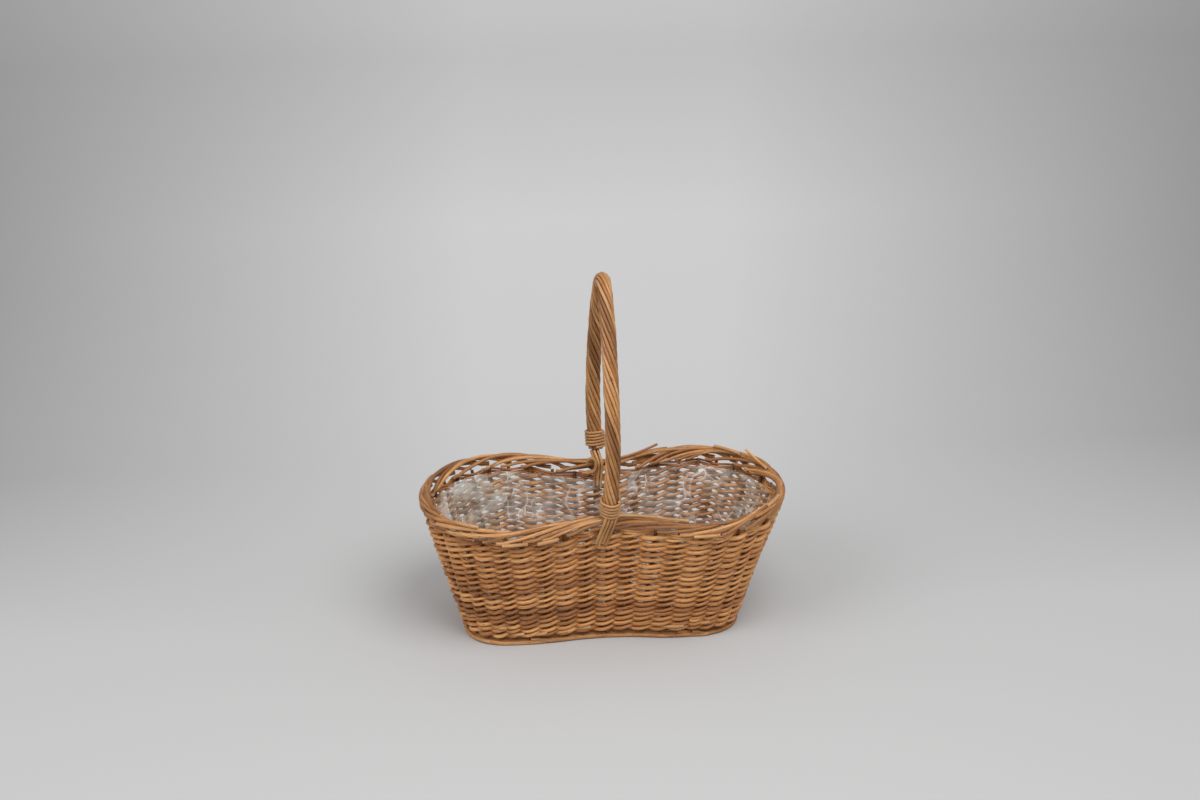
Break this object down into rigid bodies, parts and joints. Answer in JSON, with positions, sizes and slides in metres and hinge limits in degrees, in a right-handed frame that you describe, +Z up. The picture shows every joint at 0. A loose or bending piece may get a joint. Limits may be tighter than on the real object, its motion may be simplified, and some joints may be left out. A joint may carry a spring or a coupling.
{
  "type": "trug basket",
  "caption": "Waisted willow trug basket: flared woven walls, a border of parallel rods, a fixed bow handle wound with rods and a clear film liner.",
  "frame": {"origin": "on the floor, under the middle of the rim", "axes": "+X along the basket's length, to the right as pictured, +Y to the back, +Z up"},
  "size_m": [0.3734, 0.1992, 0.3695],
  "materials": {
    "willow": "matt, brown willow bark",
    "willow_dark": "matt, dark willow bark",
    "willow_pale": "satin, pale willow bark",
    "film": "clear crinkled film",
    "staple": "bright wire"
  },
  "bodies": {
    "root": {"foot_rod_outer": "willow_dark", "foot_rod_middle": "willow_dark", "foot_rod_inner": "willow_dark", "base_sticks_long": "willow_pale", "base_sticks_front": "willow_pale", "base_sticks_back": "willow_pale", "base_sticks_ends": "willow_pale", "base_weave_lower": "willow", "base_weave_upper": "willow", "stakes_back_right": "willow_dark", "stakes_back_left": "willow_dark", "stakes_front_left": "willow_dark", "stakes_front_right": "willow_dark", "wale_row_1": "willow_dark", "wale_row_2": "willow_dark", "wale_row_3": "willow_dark", "wale_row_4": "willow_dark", "weave_row_01": "willow", "weave_row_02": "willow", "weave_row_03": "willow", "weave_row_04": "willow", "weave_row_05": "willow", "weave_row_06": "willow", "weave_row_07": "willow", "weave_row_08": "willow", "weave_row_09": "willow", "weave_row_10": "willow", "weave_row_11": "willow", "weave_row_12": "willow", "weave_row_13": "willow", "weave_row_14": "willow", "border_outer_1": "willow_pale", "border_outer_2": "willow_pale", "border_outer_3": "willow_pale", "border_inner_1": "willow", "border_inner_2": "willow", "border_inner_3": "willow", "handle_bow": "willow_dark", "handle_strand_01": "willow_pale", "handle_strand_02": "willow", "handle_strand_03": "willow_pale", "handle_strand_04": "willow", "handle_strand_05": "willow_pale", "handle_strand_06": "willow", "handle_strand_07": "willow_pale", "handle_strand_08": "willow", "handle_strand_09": "willow_pale", "handle_strand_10": "willow", "lashing_front": "willow_pale", "lashing_back": "willow_pale", "handle_tails_front": "willow_pale", "handle_tails_back": "willow_pale", "liner": "film", "liner_staples": "staple", "loose_rod_back": "willow", "loose_rod_right": "willow"}
  },
  "joints": []
}
